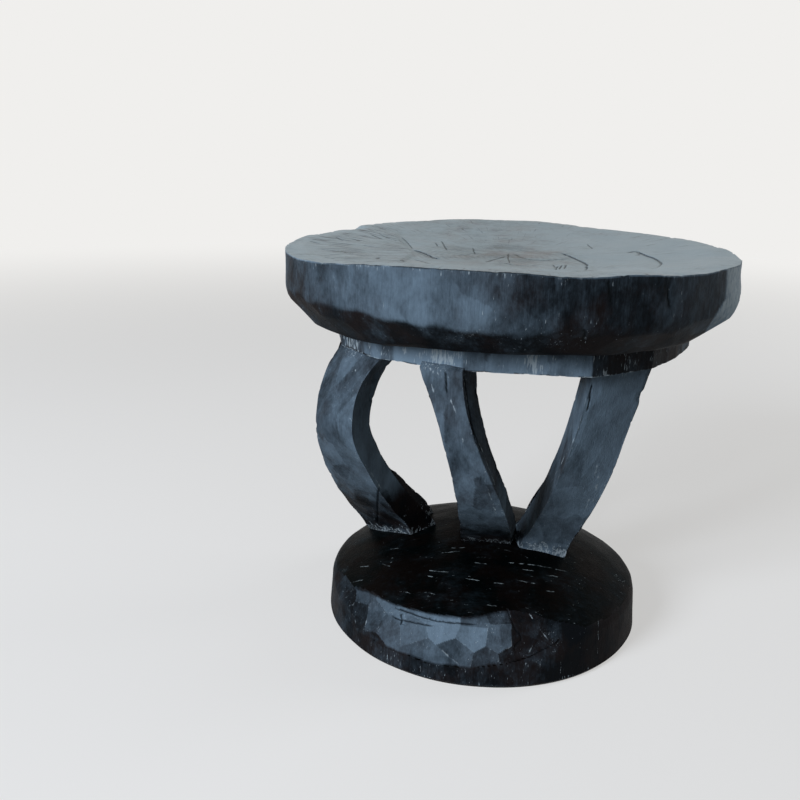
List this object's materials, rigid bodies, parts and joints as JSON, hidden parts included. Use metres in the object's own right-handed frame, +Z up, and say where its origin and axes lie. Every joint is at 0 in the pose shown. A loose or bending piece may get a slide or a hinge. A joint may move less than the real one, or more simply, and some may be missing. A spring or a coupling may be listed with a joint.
{
  "type": "carved round stool",
  "caption": "Low round stool hand-carved in dark stained wood: a thick dished seat on a ring of curved struts that rise from a heavy domed foot.",
  "frame": {"origin": "on the ground under the middle of the seat's outline", "axes": "+Z up; -Y is the stool's front, where the foot's shoulder carries adze flats; +X is to the right as seen from the front"},
  "size_m": [0.2934, 0.2932, 0.2739],
  "materials": {
    "ebonised_seat_wood": "black-stained hardwood, end grain on the worn top, semi-matte",
    "ebonised_collar_wood": "black-stained hardwood, adzed flats, semi-matte",
    "ebonised_strut_wood": "black-stained hardwood, long grain, semi-matte",
    "ebonised_base_wood": "black-stained hardwood, polished by handling on the dome, adzed flats at the front"
  },
  "bodies": {
    "root": {"seat": "ebonised_seat_wood", "collar": "ebonised_collar_wood", "strut_left_front": "ebonised_strut_wood", "strut_centre_front": "ebonised_strut_wood", "strut_right_front": "ebonised_strut_wood", "strut_left_rear": "ebonised_strut_wood", "strut_right_rear": "ebonised_strut_wood", "strut_centre_rear": "ebonised_strut_wood", "base": "ebonised_base_wood"}
  },
  "joints": []
}
